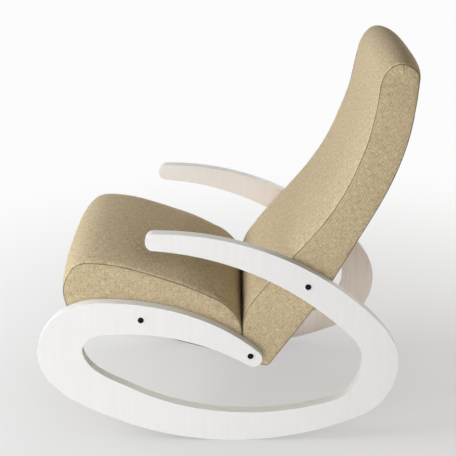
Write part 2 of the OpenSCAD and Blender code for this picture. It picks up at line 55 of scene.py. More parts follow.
# Camera at the photograph's viewing angle
CAMERA_PLACE = (2.5750, 0.0287, 1.5107)
CAMERA_AIM = (-0.92809, -0.00413, -0.37233)
SENSOR_W = 36.0
FOCAL_PX = 1050.0
PHOTO_PX = 456.0

# Cushions, in millimetres. The seams lie SEAM_IN inside the cushion's sides.
CONTACT_Y = 30.5
CUSHION_HALF = 245.0
CUSHION_SLACK = 0.2
SEAM_IN = 3.5
SEAM_X = CUSHION_HALF - SEAM_IN
SEAM_DEPTH = 2.2
SEAM_WIDTH = 1.2
SEAM_ROLL = 1.5
ROLL_AT = 6.0
ROLL_LEAST = 0.2
ROLL_WEIGHTS = (0.3, 0.8)
SIDE_LOW = 0.4
SIDE_GROOVE = 0.8
SEAT_CROWN = 28.0
BACK_CROWN = 18.0
OUTLINE_STEP = 7.5

# Seat: its slope in degrees, the bolt it is measured from, its underside, top, nose and rear
SEAT_SLOPE = 16.0
FRONT_BOLT = np.array([-226.0, 342.8])
CREASE_U = 24.0
SEAT_REAR_U = CREASE_U - 0.6
SEAT_UNDER = -44.0
SEAT_TOP = SEAT_UNDER + 152.0
SEAT_NOSE_S = -201.0

# Back: its lean and the turn of its weave in degrees, the point it is measured from, the
# middle of its thickness, and how far and between which heights the head is drawn in
BACK_LEAN = 51.0
BACK_GRAIN = 62.0
BACK_ROOT = np.array([46.0, 239.0])
BACK_MIDDLE = ((-60, 0), (0, 0), (178, -22), (383, -38), (576, -80), (769, -170), (820, -190))
HEAD_PULL = 20.0
HEAD_PULL_FROM = 862.0
HEAD_PULL_TO = 945.0
HEAD_REAR_FROM = 395.0
HEAD_REAR_TO = 420.0

# Rear panel, and the shallow recess of the back's cover that it lies in. The panel swells out and
# is tucked in at its edges, each by a height that fades over a distance.
PANEL_HALF = 199.0
PANEL_RECESS = 3.4
PANEL_RECESS_PAST = 1.0
PANEL_THICK = 1.4
PANEL_HEM = 2.0
PANEL_INSET = 1.0
PANEL_SWELL = (0.6, 5.0)
PANEL_TUCK = (2.4, 1.5)

# Points of a cushion: rows of the wrap by their distance from a seam and from the recess's side,
# rows of the side panel by depth and by the step from one outline point to the next, and the
# grid in the side panel's middle
WRAP_SEAM_ROWS = (0.0, 0.8, 1.7, 3.2, 5.4, 8.5, 12.5)
WRAP_SEAM_ZONE = 17.0
WRAP_MIDDLE_ROWS = 31
WRAP_RECESS_ROWS = (-2.0, 0.0, 2.5)
SIDE_ROWS = ((1.0, 1), (2.6, 1), (5.5, 1), (9.5, 2))
SIDE_ROW_CLEAR = 0.8
SIDE_GRID = 11.0
SIDE_GRID_CLEAR = 13.0

# Gathers beside the seams: height and fading distance, then share, lengths and seed of each wave
WRAP_GATHER = (0.7, 14.0)
SIDE_GATHER = (0.25, 16.0)
PANEL_GATHER = (0.5, 16.0)
GATHER_WAVES = ((1.0, 17.0, 60.0, 0.0), (0.5, 8.0, 40.0, 3.0))
SEAT_SEED = 5.0
BACK_SEED = 11.0
PANEL_SEED = 21.0

# Pleats on the side of the head: top, end, height and half-width of each fold
PLEATS = (
    ((388.0, 967.0), (389.4, 948.5), 2.6, 1.6),
    ((394.8, 966.0), (394.9, 952.0), 2.2, 1.5),
    ((389.4, 949.0), (379.0, 928.0), 1.1, 3.0),
)
PLEAT_FADE = 0.75
PLEAT_END = 3.0
PLEAT_STEPS = 7
PLEAT_ASIDES = (-1.5, -0.7, 0.0, 0.7, 1.4, 2.4)
PLEAT_CLEAR = 1.2
POINT_GAP = 0.6

# Cloth simulation of the covers: frames, pressures, how far a point may move, how sharp the seams
# stay, and the zones that are held at the seams, at the seat's rear and at the back's crease
PUFF_FRAMES = 20
SEAT_PRESSURE = 1.2
BACK_PRESSURE = 1.0
PUFF_REACH = 4.0
SEAM_CREASE = 0.7
HELD_AT_SEAM = 0.5
HELD_AT_REAR = 8.0
HELD_AT_CREASE = 4.0

# Sewing thread: length of a stitch with its gap, share of it that shows, radius, start of the ray
# that lays it, depths of the rows, and where the rows end: before the seat's rear and above its
# underside, behind the back's middle and above its root, and below the root behind. Then how far
# along, how high and how thick each ring of one stitch is.
STITCH_PITCH = 4.6
STITCH_SHARE = 0.68
STITCH_R = 0.42
STITCH_RAY = 300.0
STITCH_ROWS = (3.6, 7.2)
REAR_STITCH_ROW = 4.0
SEAT_STITCH_ENDS = (6.0, 12.0)
BACK_STITCH_ENDS = (30.0, 10.0)
REAR_STITCH_END = 30.0
THREAD_RINGS = (
    (0.0, -0.9, 0.35),
    (0.2, 0.2, 0.9),
    (0.5, 0.55, 1.0),
    (0.8, 0.2, 0.9),
    (1.0, -0.9, 0.35),
)
THREAD_SIDES = 6
# Painted seam shade: radius of the thin dark tube along the side seams, how deep it sinks and how far
# out it sits
SEAM_SHADE_R = 0.95
SEAM_SHADE_SUNK = 0.9
SEAM_SHADE_OUT = 0.3

# Dust cloth under the seat and its staples
DUST_CELLS = 40
DUST_BELOW = 1.2
DUST_SAG = 1.6
DUST_RIPPLE = 0.4
DUST_RIPPLE_SCALE = 40.0
DUST_RIPPLE_FADE = 9.0
DUST_THICK = 0.6
STAPLES_A_SIDE = 12
STAPLE_IN = 6.0
STAPLE_HALF = 5.0
STAPLE_BELOW = 1.8
STAPLE_R = 0.55

# Rounding of the sawn edges and of the bolt heads
EDGE_ROUND = 1.8
BOLT_ROUND = 0.25


# Smooth outlines through stations (u, v, heading in degrees, crown weight)


def heading(degrees):
    return np.array([math.cos(math.radians(degrees)), math.sin(math.radians(degrees))])


def left_of(degrees):
    return heading(degrees + 90.0)


def signed_turn(degrees):
    return degrees - 360.0 * round(degrees / 360.0)


def handle(leave, arrive):
    """Length of a curve's handle as a share of its chord, by the turns at both ends."""
    a = math.radians(leave)
    b = math.radians(arrive)
    bulge = (math.sin(a) - math.sin(b) / 16) * (math.sin(b) - math.sin(a) / 16)
    top = 2 + math.sqrt(2) * bulge * (math.cos(a) - math.cos(b))
    spread = 1 + 0.5 * (math.sqrt(5) - 1) * math.cos(a) + 0.5 * (3 - math.sqrt(5)) * math.cos(b)
    return top / (3 * spread)


def stretch(p, q):
    """Points (u, v, weight) from station p up to station q."""
    a = np.array(p[:2])
    b = np.array(q[:2])
    chord = np.linalg.norm(b - a)
    aim = math.degrees(math.atan2(b[1] - a[1], b[0] - a[0]))
    leave = signed_turn(p[2] - aim)
    arrive = signed_turn(aim - q[2])
    c = a + chord * handle(leave, arrive) * heading(p[2])
    d = b - chord * handle(arrive, leave) * heading(q[2])
    count = max(2, round(chord / OUTLINE_STEP))
    t = (np.arange(count) / count)[:, None]
    s = 1 - t
    at = s**3 * a + 3 * s * s * t * c + 3 * s * t * t * d + t**3 * b
    ease = t * t * (3 - 2 * t)
    weight = (1 - ease) * p[3] + ease * q[3]
    return np.hstack([at, weight])


def closed_outline(stations):
    rounds = zip(stations, stations[1:] + stations[:1])
    return np.vstack([stretch(p, q) for p, q in rounds])


def corner(p, heading_in, heading_out, r, weight=0.0):
    a = p - r * heading(heading_in)
    b = p + r * heading(heading_out)
    return [(a[0], a[1], heading_in, weight), (b[0], b[1], heading_out, weight)]


def outward(outline):
    """Outward unit normals of a closed outline that runs clockwise."""
    along = np.roll(outline[:, :2], -1, 0) - np.roll(outline[:, :2], 1, 0)
    along /= np.linalg.norm(along, axis=1)[:, None]
    return np.column_stack([-along[:, 1], along[:, 0]])


def run_length(line):
    """Length run at each point of a line."""
    return np.concatenate([[0.0], np.cumsum(np.linalg.norm(np.diff(line[:, :2], axis=0), axis=1))])


def seat_at(s, t):
    return FRONT_BOLT + s * heading(-SEAT_SLOPE) + t * left_of(-SEAT_SLOPE)


def seat_station(s, t, h, weight):
    p = seat_at(s, t)
    return (p[0], p[1], h - SEAT_SLOPE, weight)


def seat_rear_s(t):
    slope = math.radians(SEAT_SLOPE)
    return (SEAT_REAR_U - FRONT_BOLT[0] - t * math.sin(slope)) / math.cos(slope)


def seat_under_v(u):
    """Height of the seat's underside at u."""
    at = seat_at(0.0, SEAT_UNDER)
    return at[1] - math.tan(math.radians(SEAT_SLOPE)) * (u - at[0])


def seat_outline():
    top = [
        seat_station(-155, SEAT_TOP - 8, 15.5, 1.07),
        seat_station(55, SEAT_TOP, -3, 0.9),
        seat_station(seat_rear_s(0.0) - 97, SEAT_TOP - 15, -11, 0.5),
        seat_station(seat_rear_s(17), 17, -90 + SEAT_SLOPE, 0.0),
    ]
    rear_corner = corner(seat_at(seat_rear_s(SEAT_UNDER), SEAT_UNDER), -90, 180 - SEAT_SLOPE, 8)
    front_corner = corner(seat_at(SEAT_NOSE_S + 26, SEAT_UNDER), 180 - SEAT_SLOPE, 120 - SEAT_SLOPE, 14)
    nose = [
        seat_station(SEAT_NOSE_S, 6, 106, 0.3),
        seat_station(SEAT_NOSE_S + 7, SEAT_TOP - 35, 68, 0.7),
    ]
    return closed_outline(top + rear_corner + front_corner + nose)


def back_at(p, q):
    return BACK_ROOT + p * heading(BACK_LEAN) - q * left_of(BACK_LEAN)


def back_station(p, q, h, weight):
    at = back_at(p, q)
    return (at[0], at[1], h + BACK_LEAN, weight)


def back_outline():
    head = [back_station(782, -193, -60, 0.85)]
    head += corner(back_at(786, -147), -104 + BACK_LEAN, -144 + BACK_LEAN, 6, 0.75)
    rear = [
        back_station(712, -99.5, -146.5, 0.3),
        back_station(576, -35, -161.5, 0.1),
        back_station(383, 9, -169, 0.0),
        back_station(178, 44, -174.5, 0.0),
    ]
    foot = corner(BACK_ROOT + np.array([42, -40]), -125, 163, 9)
    toe = corner(np.array([CREASE_U, BACK_ROOT[1] - 21]), 163, 90, 10)
    front = [
        (CREASE_U, BACK_ROOT[1] + 61, 88, 0.0),
        back_station(104, -86, 5, 0.25),
        back_station(177, -88, 0, 0.8),
        back_station(390, -87, 4, 1.0),
        back_station(564, -127, 20, 0.72),
        back_station(703, -197.5, 31, 0.0),
    ]
    return closed_outline(head + rear + foot + toe + front)


def back_middle(v):
    """The u of the middle of the back's thickness at height v."""
    line = np.array([back_at(p, q) for p, q in BACK_MIDDLE])
    return float(np.interp(v, line[:, 1], line[:, 0]))


# Meshes


def point(x, u, v):
    return Vector((x * MM, (u + CONTACT_Y) * MM, v * MM))


def skin(mesh, rows, closed=False):
    """Four-sided faces between rows of points, each with its corners' row and column numbers."""
    n = len(rows[0])
    made = []
    for j in range(len(rows) - 1):
        for k in range(n if closed else n - 1):
            corners = ((j, k), (j, k + 1), (j + 1, k + 1), (j + 1, k))
            made.append((mesh.faces.new([rows[a][b % n] for a, b in corners]), corners))
    return made


def join_piece(name, mesh):
    data = bpy.data.meshes.new(name)
    mesh.to_mesh(data)
    mesh.free()
    data.polygons.foreach_set("use_smooth", [True] * len(data.polygons))
    piece = bpy.data.objects.new(name, data)
    scene.collection.objects.link(piece)
    return piece


def subdivide(piece):
    smooth = piece.modifiers.new("subdivision", "SUBSURF")
    smooth.levels = 1
    smooth.render_levels = 1


def thicken(piece, thickness, offset):
    solid = piece.modifiers.new("thickness", "SOLIDIFY")
    solid.thickness = thickness * MM
    solid.offset = offset


# Upholstered forms: a wrap around the outline, sewn to a panel on each side


def crown_share(s):
    return np.maximum(0.0, 1 - np.abs(s) ** 3) ** 0.7


def across_places(extra=()):
    """Places across the wrap, closer together towards the seams."""
    places = list(np.linspace(-1, 1, WRAP_MIDDLE_ROWS) * (SEAM_X - WRAP_SEAM_ZONE))
    for d in WRAP_SEAM_ROWS:
        places += [d - SEAM_X, SEAM_X - d]
    for x in extra:
        places += [-x, x]
    return np.array(sorted(places))


def smooth_step(value, low, high):
    t = min(1.0, max(0.0, (value - low) / (high - low)))
    return t * t * (3 - 2 * t)


def roll_share(u, weight):
    """How full the roll beside a seam is: full under the crown, slight elsewhere."""
    full = smooth_step(weight, *ROLL_WEIGHTS) * (1 - smooth_step(u, HEAD_REAR_FROM, HEAD_REAR_TO))
    return ROLL_LEAST + (1 - ROLL_LEAST) * full


def seam_profile(d, fullness):
    """How far the cover stands out at a distance d from a seam: sunk at the seam, then a soft roll."""
    groove = SEAM_DEPTH * np.exp(-((d / SEAM_WIDTH) ** 2))
    return fullness * SEAM_ROLL * (d / ROLL_AT) * np.exp(1 - d / ROLL_AT) - groove


def side_rise(d):
    """How far the side panel stands out from the seam's plane at a distance d from the seam."""
    groove = SIDE_GROOVE * math.exp(-((d / SEAM_WIDTH) ** 2))
    return (SEAM_IN - SIDE_LOW) * (1 - math.exp(-d / ROLL_AT)) - groove


def pulled_in(v):
    """How far each side of the back is drawn in at height v, where the head narrows."""
    return HEAD_PULL * smooth_step(v, HEAD_PULL_FROM, HEAD_PULL_TO)


def gathers(form, d, run, x, seed):
    """Small uneven gathers that fade with the distance d from the seams."""
    height, reach = form
    wave = sum(
        share * noise.noise(Vector((run / along, x / aside, seed + shift)))
        for share, along, aside, shift in GATHER_WAVES
    )
    return height * math.exp(-d / reach) * wave


def inside_of(p, flat):
    a = flat
    b = np.roll(flat, -1, 0)
    crosses = (a[:, 1] > p[1]) != (b[:, 1] > p[1])
    rise = np.where(crosses, b[:, 1] - a[:, 1], 1.0)
    where = a[:, 0] + (p[1] - a[:, 1]) * (b[:, 0] - a[:, 0]) / rise
    return bool(np.count_nonzero(crosses & (p[0] < where)) % 2)


def nearest(p, flat):
    return float(np.min(np.linalg.norm(flat - p, axis=1)))


def clear_inside(points, flat, gap):
    """The points that lie inside the outline and more than gap from it."""
    return [p for p in points if inside_of(p, flat) and nearest(p, flat) > gap]


def side_points(outline):
    """Points inside the side panel: rows beside the seam, then an even grid."""
    flat = outline[:, :2]
    normals = outward(outline)
    rows = []
    for depth, every in SIDE_ROWS:
        rows += list((flat - depth * normals)[::every])
    lo = flat.min(0)
    hi = flat.max(0)
    grid = [
        np.array([a, b])
        for a in np.arange(lo[0], hi[0], SIDE_GRID)
        for b in np.arange(lo[1], hi[1], SIDE_GRID)
    ]
    return clear_inside(rows, flat, SIDE_ROW_CLEAR) + clear_inside(grid, flat, SIDE_GRID_CLEAR)


def folds(at):
    """Two short pleats below the head's seam and the soft fold that they run out into."""
    lift = 0.0
    for top, end, height, girth in PLEATS:
        a = np.array(top)
        along = np.array(end) - a
        t = float(np.clip(np.dot(np.array(at) - a, along) / np.dot(along, along), 0.0, 1.0))
        gap = np.array(at) - (a + t * along)
        aside = (gap[0] * along[1] - gap[1] * along[0]) / np.linalg.norm(along)
        past = max(0.0, float(np.linalg.norm(gap)) - abs(aside))
        fade = (1 - PLEAT_FADE * t) * math.exp(-((past / PLEAT_END) ** 2))
        ridge = math.exp(-(((aside - girth) / girth) ** 2))
        lift += height * fade * (ridge - math.exp(-((aside / girth) ** 2)))
    return lift


def pleat_points(outline):
    """Extra points beside the pleats, so that the side panel can take their shape."""
    made = []
    for top, end, _, girth in PLEATS:
        a = np.array(top)
        b = np.array(end)
        along = (b - a) / np.linalg.norm(b - a)
        square = np.array([along[1], -along[0]])
        for t in np.linspace(0.0, 1.0, PLEAT_STEPS):
            for aside in PLEAT_ASIDES:
                made.append(a + t * (b - a) + aside * girth * square)
    return clear_inside(made, outline[:, :2], PLEAT_CLEAR)


def spread_out(points):
    """The points, without those that lie too close to an earlier one."""
    kept = []
    for p in points:
        if all(abs(p[0] - q[0]) > POINT_GAP or abs(p[1] - q[1]) > POINT_GAP for q in kept):
            kept.append(p)
    return kept


def wrap_rows(mesh, outline, runs, places, crown, seed, recess):
    """Rows of points across the cover: each row is the outline, moved out at one place."""
    normals = outward(outline)
    rows = []
    for x in places:
        d = SEAM_X - abs(x)
        row = []
        for k, (u, v, weight) in enumerate(outline):
            out = crown * weight * crown_share(x / SEAM_X) + seam_profile(d, roll_share(u, weight))
            out += gathers(WRAP_GATHER, d, runs[k], x, seed)
            if recess is not None:
                out -= recess(x, k)
            at = outline[k, :2] + out * normals[k]
            narrow = 1 - pulled_in(v) / SEAM_X
            row.append(mesh.verts.new(point(x * narrow, at[0], at[1])))
        rows.append(row)
    return rows


def side_panels(mesh, uv, outline, inner, borders, grain, seed):
    """Both side panels: the outline and the inner points, joined by triangles."""
    n = len(outline)
    flat = [Vector(p) for p in outline[:, :2]] + [Vector(p) for p in inner]
    verts, _, faces, origin, _, _ = geometry.delaunay_2d_cdt(flat, [], [list(range(n))], 1, 1e-4)
    for side, border in borders:
        made = []
        for k, at in enumerate(verts):
            first = min(origin[k]) if origin[k] else n
            if first < n:
                made.append(border[first])
            else:
                d = nearest(np.array(at), outline[:, :2])
                x = SEAM_X - pulled_in(at[1]) + side_rise(d) + folds(at)
                x += gathers(SIDE_GATHER, d, at[0], at[1], seed)
                made.append(mesh.verts.new(point(side * x, at[0], at[1])))
        for ids in faces:
            order = ids if side > 0 else ids[::-1]
            face = mesh.faces.new([made[i] for i in order])
            for loop, i in zip(face.loops, order):
                loop[uv].uv = (
                    (verts[i][0] * grain[0] + verts[i][1] * grain[1]) * MM,
                    (verts[i][1] * grain[0] - verts[i][0] * grain[1]) * MM,
                )


def upholstered(name, outline, crown, seed, grain_turn, pleated=False, recess=None, extra=()):
    """One closed cover: the wrap and both side panels, joined along the seams."""
    runs = run_length(np.vstack([outline, outline[:1]]))
    places = across_places(extra)
    mesh = bmesh.new()
    uv = mesh.loops.layers.uv.new("cloth")
    rows = wrap_rows(mesh, outline, runs, places, crown, seed, recess)
    for face, corners in skin(mesh, rows, closed=True):
        for loop, (j, k) in zip(face.loops, corners):
            loop[uv].uv = (runs[k] * MM, places[j] * MM)
    inner = side_points(outline)
    if pleated:
        inner = spread_out(pleat_points(outline) + inner)
    side_panels(mesh, uv, outline, inner, ((1, rows[-1]), (-1, rows[0])), heading(grain_turn), seed)
    bmesh.ops.recalc_face_normals(mesh, faces=mesh.faces)
    crease = mesh.edges.layers.float.new("crease_edge")
    seams = set(rows[0] + rows[-1])
    for edge in mesh.edges:
        if edge.verts[0] in seams and edge.verts[1] in seams:
            edge[crease] = SEAM_CREASE
    return join_piece(name, mesh)


def puff(piece, pinned, pressure):
    """Blows the sewn cover up like cloth over foam, and caps how far each point moves."""
    before = np.array([v.co for v in piece.data.vertices])
    group = piece.vertex_groups.new(name="pinned")
    for index, vertex in enumerate(piece.data.vertices):
        group.add([index], pinned(vertex.co), "REPLACE")
    cloth = piece.modifiers.new("cloth", "CLOTH")
    cloth.settings.quality = 6
    cloth.settings.mass = 0.4
    cloth.settings.tension_stiffness = 30
    cloth.settings.compression_stiffness = 30
    cloth.settings.shear_stiffness = 12
    cloth.settings.bending_stiffness = 2
    cloth.settings.vertex_group_mass = group.name
    cloth.settings.use_pressure = True
    cloth.settings.uniform_pressure_force = pressure
    cloth.settings.effector_weights.gravity = 0
    cloth.point_cache.frame_start = 1
    cloth.point_cache.frame_end = PUFF_FRAMES
    for step in range(1, PUFF_FRAMES + 1):
        scene.frame_set(step)
    shown = piece.evaluated_get(bpy.context.evaluated_depsgraph_get())
    after = np.array([v.co for v in shown.data.vertices])
    piece.modifiers.remove(cloth)
    scene.frame_set(1)
    moved = after - before
    size = np.linalg.norm(moved, axis=1)[:, None]
    share = np.minimum(1.0, PUFF_REACH * MM / np.maximum(size, 1e-9))
    piece.data.vertices.foreach_set("co", (before + moved * share).ravel())
    piece.data.update()
    print(piece.name, "moved up to", round(float(size.max()) / MM, 1), "mm")


def limit(piece, axis, low=-math.inf, high=math.inf):
    """Holds a piece's points between two planes, so that it stays clear of its neighbour."""
    for vertex in piece.data.vertices:
        vertex.co[axis] = min(max(vertex.co[axis], low * MM), high * MM)


# Sewing


def thread(mesh, a, b, up, radius):
    """One stitch: a short thread that dips into the cloth at both ends."""
    along = b - a
    side = along.normalized().cross(up).normalized()
    rings = []
    for t, lift, girth in THREAD_RINGS:
        centre = a + along * t + up * (lift * radius)
        ring = []
        for k in range(THREAD_SIDES):
            turn = 2 * math.pi * k / THREAD_SIDES
            reach = math.cos(turn) * side + math.sin(turn) * up
            ring.append(mesh.verts.new(centre + girth * radius * reach))
        rings.append(ring)
    skin(mesh, rings, closed=True)
    mesh.faces.new(rings[0][::-1])
    mesh.faces.new(rings[-1])


def stitch_row(mesh, surface, line, side):
    """Stitches along a line of (u, v) points, laid on the side panel by a ray from outside."""
    lengths = run_length(line)

    def laid(run):
        u = np.interp(run, lengths, line[:, 0])
        v = np.interp(run, lengths, line[:, 1])
        start = point(side * STITCH_RAY, u, v)
        hit, normal, _, _ = surface.ray_cast(start, Vector((-side, 0, 0)))
        return hit, normal

    for k in range(int(lengths[-1] / STITCH_PITCH)):
        a, normal = laid(k * STITCH_PITCH)
        b, _ = laid((k + STITCH_SHARE) * STITCH_PITCH)
        if a is not None and b is not None:
            thread(mesh, a, b, normal, STITCH_R * MM)


def make_stitches(name, piece, lines):
    bpy.context.view_layer.update()
    surface = BVHTree.FromObject(piece, bpy.context.evaluated_depsgraph_get())
    mesh = bmesh.new()
    for line in lines:
        for side in (1, -1):
            stitch_row(mesh, surface, line, side)
    return join_piece(name, mesh)


def make_painted_seam_shade(name, outline):
    """A thin dark tube sunk along the bottom of both side seams: painted shade standing in for the
    shade in the seams' grooves.
    """
    mesh = bmesh.new()
    normals = outward(outline)
    for side in (1, -1):
        rings = []
        for k, (_, v, _) in enumerate(outline):
            ring = []
            for turn in (45.0, 135.0, 225.0, 315.0):
                out, over = SEAM_SHADE_R * heading(turn)
                at = outline[k, :2] + (out - SEAM_SHADE_SUNK) * normals[k]
                x = SEAM_X - pulled_in(v) + SEAM_SHADE_OUT + over
                ring.append(mesh.verts.new(point(side * x, at[0], at[1])))
            rings.append(ring)
        skin(mesh, rings + rings[:1], closed=True)
    bmesh.ops.recalc_face_normals(mesh, faces=mesh.faces)
    return join_piece(name, mesh)


def row_beside(outline, depth, keep):
    """The outline drawn in by depth, as the stretch of it for which keep is true."""
    drawn = outline[:, :2] - depth * outward(outline)
    chosen = np.array([keep(p) for p in outline])
    start = next(k for k in range(len(chosen)) if chosen[k] and not chosen[k - 1])
    line = []
    for k in np.roll(np.arange(len(chosen)), -start):
        if not chosen[k]:
            break
        line.append(drawn[k])
    return np.array(line)


# Materials


def tree_of(name):
    material = bpy.data.materials.new(name)
    material.use_nodes = True
    material.node_tree.nodes.clear()
    return material, material.node_tree


def fill(tree, socket, value):
    if isinstance(value, bpy.types.NodeSocket):
        tree.links.new(value, socket)
    else:
        socket.default_value = (*value, 1) if socket.type == "RGBA" else value


def add(tree, kind, inputs=None, **settings):
    node = tree.nodes.new(kind)
    for key, value in settings.items():
        setattr(node, key, value)
    for key, value in (inputs or {}).items():
        fill(tree, node.inputs[key], value)
    return node


def calc(tree, operation, a, b=0.0):
    return add(tree, "ShaderNodeMath", {0: a, 1: b}, operation=operation).outputs[0]


def weighted(tree, *terms):
    """Sum of values, each times its share."""
    total = None
    for value, share in terms:
        part = calc(tree, "MULTIPLY", value, share)
        total = part if total is None else calc(tree, "ADD", total, part)
    return total


def offset_by(tree, base, value, share):
    return calc(tree, "ADD", base, calc(tree, "MULTIPLY", value, share))


def mixed(tree, factor, a, b):
    return add(tree, "ShaderNodeMix", {0: factor, 6: a, 7: b}, data_type="RGBA").outputs[2]


def mixed_shaders(tree, factor, a, b):
    return add(tree, "ShaderNodeMixShader", {0: factor, 1: a, 2: b}).outputs[0]


def two_tone(tree, value, colours, start=0.3, end=0.7):
    """The first colour up to start, the second from end on, and a blend between."""
    node = add(tree, "ShaderNodeValToRGB", {0: value})
    for stop, position, colour in zip(node.color_ramp.elements, (start, end), colours):
        stop.position = position
        stop.color = (*colour, 1)
    return node.outputs[0]


def fade(tree, value, start, end):
    """0 up to start, 1 from end on, with a smooth rise between."""
    inputs = {0: value, 1: start, 2: end, 3: 0.0, 4: 1.0}
    return add(tree, "ShaderNodeMapRange", inputs, interpolation_type="SMOOTHSTEP").outputs[0]


def stretched_noise(tree, vector, scale, detail, roughness=0.6):
    moved = add(tree, "ShaderNodeMapping", {"Vector": vector, "Scale": scale}).outputs[0]
    inputs = {"Vector": moved, "Scale": 1.0, "Detail": detail, "Roughness": roughness}
    return add(tree, "ShaderNodeTexNoise", inputs).outputs[0]


def bumped(tree, height, strength, distance):
    inputs = {"Height": height, "Strength": strength, "Distance": distance}
    return add(tree, "ShaderNodeBump", inputs).outputs[0]


def shader(tree, kind, inputs):
    return add(tree, kind, inputs).outputs[0]


def finish_surface(tree, inputs):
    """Ends a material's tree with one surface of the given look."""
    finish_tree(tree, shader(tree, "ShaderNodeBsdfPrincipled", inputs))


def finish_tree(tree, result, kind="ShaderNodeOutputMaterial"):
    add(tree, kind, {0: result})


def seen_directly(tree):
    """1 for the camera's rays and for those that a mirror or a glass passes on, else 0."""
    path = add(tree, "ShaderNodeLightPath").outputs
    direct = calc(tree, "MAXIMUM", path["Is Camera Ray"], path["Is Glossy Ray"])
    return calc(tree, "MAXIMUM", direct, path["Is Transmission Ray"])


# Dark and light colour of the linen and of each paint, where along y the inner face's painted light
# gives way to painted shade, how square to x a face of the frame is, and the thickness of one layer of
# the plywood
LINEN = ((0.28, 0.223, 0.118), (0.775, 0.638, 0.430))
LINEN_THREAD = 2.3 * MM
LINEN_SHEEN = (0.95, 0.86, 0.68)
OUTER_PAINT = ((0.80, 0.796, 0.797), (0.845, 0.841, 0.843))
# Inner face: lighter than the outer paint at the front as painted light, darker towards the rear as
# painted shade
LIT_INNER_PAINT = ((0.93, 0.885, 0.875), (0.97, 0.94, 0.932))
SHADED_INNER_PAINT = ((0.78, 0.70, 0.65), (0.90, 0.84, 0.80))
EDGE_PAINT = ((0.65, 0.64, 0.635), (0.83, 0.825, 0.82))
INNER_SHADE_FROM_Y = 0.05
INNER_SHADE_TO_Y = 0.32
FACE_NORMAL = 0.6
PLY = 3 * MM

# Plain materials: two colours, the speckles' scale, roughness, metallic and specular level
PLAIN_LOOKS = {
    "sewing_thread": (((0.40, 0.33, 0.21), (0.52, 0.44, 0.30)), (900, 900, 900), 0.7, 0.0, 0.5),
    # Near-black look of the tubes of painted shade along the side seams
    "painted_seam_shade": (((0.13, 0.10, 0.055), (0.22, 0.17, 0.10)), (900, 900, 900), 0.8, 0.0, 0.5),
    "dust_cloth": (((0.015, 0.015, 0.016), (0.05, 0.05, 0.052)), (700, 700, 700), 0.9, 0.0, 0.5),
    "bare_plywood": (((0.52, 0.36, 0.20), (0.72, 0.55, 0.34)), (20, 200, 20), 0.6, 0.0, 0.5),
    "foam": (((0.72, 0.66, 0.42), (0.90, 0.85, 0.62)), (900, 900, 900), 0.95, 0.0, 0.5),
    "webbing": (((0.02, 0.02, 0.022), (0.08, 0.08, 0.085)), (60, 900, 900), 0.8, 0.0, 0.5),
    "black_steel": (((0.004, 0.004, 0.0045), (0.012, 0.012, 0.013)), (500, 500, 500), 0.42, 0.0, 0.12),
    "zinc_steel": (((0.48, 0.49, 0.50), (0.66, 0.67, 0.69)), (300, 300, 300), 0.35, 1.0, 0.5),
}


def linen_material(name):
    """Plain-woven linen: crossing threads of uneven thickness, with slubs and a soft mottling."""
    material, tree = tree_of(name)
    coords = add(tree, "ShaderNodeUVMap", uv_map="cloth").outputs[0]
    split = add(tree, "ShaderNodeSeparateXYZ", {0: coords}).outputs
    wobble = calc(tree, "SUBTRACT", stretched_noise(tree, coords, (60, 60, 1), 2.0), 0.5)
    shift = calc(tree, "MULTIPLY", wobble, 0.6)
    warp = calc(tree, "ADD", calc(tree, "DIVIDE", split[0], LINEN_THREAD), shift)
    weft = calc(tree, "ADD", calc(tree, "DIVIDE", split[1], LINEN_THREAD), shift)

    def thread_top(own, other, lead):
        """Height of one set of threads: round in section, and up where it crosses over."""
        section = calc(tree, "ABSOLUTE", calc(tree, "SINE", calc(tree, "MULTIPLY", own, math.pi)))
        number = calc(tree, "FLOOR", calc(tree, "ADD", own, lead))
        turn = weighted(tree, (other, math.pi), (number, math.pi))
        over = offset_by(tree, 0.5, calc(tree, "COSINE", turn), 0.5)
        return calc(tree, "MULTIPLY", section, over)

    weave = calc(tree, "MAXIMUM", thread_top(warp, weft, 0.0), thread_top(weft, warp, 1.0))
    slub_warp = stretched_noise(tree, coords, (460, 60, 1), 2.0)
    slub_weft = stretched_noise(tree, coords, (70, 460, 1), 2.0)
    slubs = calc(tree, "MULTIPLY", calc(tree, "ADD", slub_warp, slub_weft), 0.5)
    mottle = stretched_noise(tree, coords, (9, 9, 1), 3.0)
    heather = stretched_noise(tree, coords, (460, 460, 1), 1.0)
    tone = weighted(tree, (weave, 0.5), (slubs, 2.4), (mottle, 0.15), (heather, 0.3))
    tone = calc(tree, "SUBTRACT", tone, 1.15)
    finish_surface(tree, {
        "Base Color": two_tone(tree, tone, LINEN, 0.0, 1.0),
        "Roughness": offset_by(tree, 0.98, weave, -0.12),
        "Normal": bumped(tree, offset_by(tree, weave, slubs, 1.2), 0.45, 0.6 * MM),
        "Sheen Weight": 0.08,
        "Sheen Roughness": 0.6,
        "Sheen Tint": LINEN_SHEEN,
        "Specular IOR Level": 0.12,
    })
    return material


